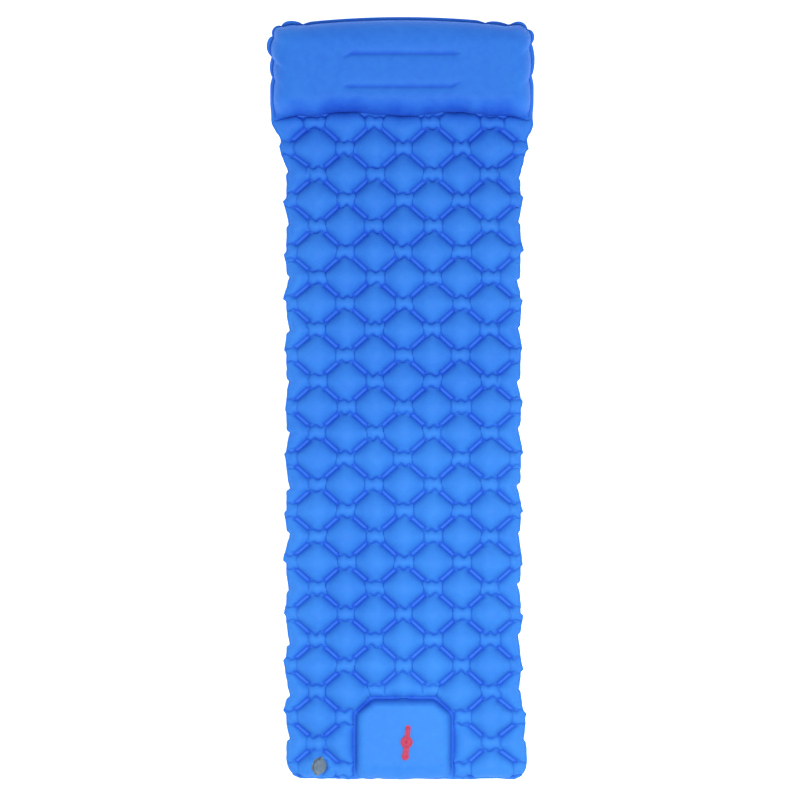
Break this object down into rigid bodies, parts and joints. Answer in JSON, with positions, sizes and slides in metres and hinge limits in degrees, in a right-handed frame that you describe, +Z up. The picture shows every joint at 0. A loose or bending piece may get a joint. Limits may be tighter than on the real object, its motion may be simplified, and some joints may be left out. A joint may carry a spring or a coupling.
{
  "type": "inflatable camping mattress",
  "caption": "Inflatable camping mattress of two welded sheets, with a raised pillow that folds up, a built-in foot pump with a plugged intake, and a capped corner valve.",
  "frame": {"origin": "centre of the footprint, on the surface that the mattress lies on", "axes": "+Z up, +Y towards the pillow along the mattress, +X to the right when it is seen from above with the pillow at the top"},
  "size_m": [0.682, 1.95, 0.11],
  "materials": {
    "coated_fabric": "blue coated nylon, light weave, satin",
    "foam": "open-cell foam",
    "red_plug": "soft translucent red elastomer",
    "blue_moulding": "moulded, welded to the sheet",
    "grey_moulding": "semi-gloss moulded elastomer",
    "flap_rubber": "clear silicone"
  },
  "bodies": {
    "pad": {"pad_top_sheet": "coated_fabric", "pad_bottom_sheet": "coated_fabric", "pump_skirt": "coated_fabric", "pump_foam": "foam", "outlet_port": "blue_moulding", "valve_base": "grey_moulding", "valve_spider": "grey_moulding", "valve_leash": "grey_moulding"},
    "pillow": {"pillow_top_sheet": "coated_fabric", "pillow_bottom_sheet": "coated_fabric", "pillow_baffle_front": "coated_fabric", "pillow_baffle_rear": "coated_fabric"},
    "pump_top": {"pump_cover": "coated_fabric", "intake_base": "blue_moulding", "plug_anchor": "red_plug"},
    "intake_plug": {"intake_plug": "red_plug"},
    "intake_flap": {"intake_flap": "flap_rubber"},
    "outlet_flap": {"outlet_flap": "flap_rubber"},
    "valve_cap": {"valve_cap": "grey_moulding", "valve_cap_seal": "flap_rubber"},
    "valve_flap": {"valve_flap": "flap_rubber"}
  },
  "joints": [
    {"name": "pillow_fold", "type": "hinge", "parent": "pad", "child": "pillow", "pos_m": [0, 0.706, 0.03], "axis": [1, 0, 0], "range_deg": [0, 35]},
    {"name": "pump_press", "type": "slide", "parent": "pad", "child": "pump_top", "axis": [0, 0, -1], "range_m": [0, 0.034], "stiffness_N_per_m": 3000, "deforming": ["pump_foam"]},
    {"name": "plug_swing", "type": "hinge", "parent": "pump_top", "child": "intake_plug", "pos_m": [0.01121, -0.84465, 0.068], "axis": [-0.9954, 0.0958, 0], "range_deg": [0, 115]},
    {"name": "intake_flap_lift", "type": "slide", "parent": "pump_top", "child": "intake_flap", "axis": [0, 0, -1], "range_m": [0, 0.002], "stiffness_N_per_m": 60},
    {"name": "outlet_flap_swing", "type": "hinge", "parent": "pad", "child": "outlet_flap", "pos_m": [0, -0.7428, 0.0346], "axis": [1, 0, 0], "range_deg": [0, 40], "stiffness_Nm_per_rad": 0.001},
    {"name": "cap_swing", "type": "hinge", "parent": "pad", "child": "valve_cap", "pos_m": [-0.22017, -0.96386, 0.04872], "axis": [0.7493, -0.1593, -0.6428], "range_deg": [0, 135]},
    {"name": "valve_flap_lift", "type": "slide", "parent": "pad", "child": "valve_flap", "axis": [-0.6287, 0.1336, -0.766], "range_m": [0, 0.002], "stiffness_N_per_m": 60}
  ]
}
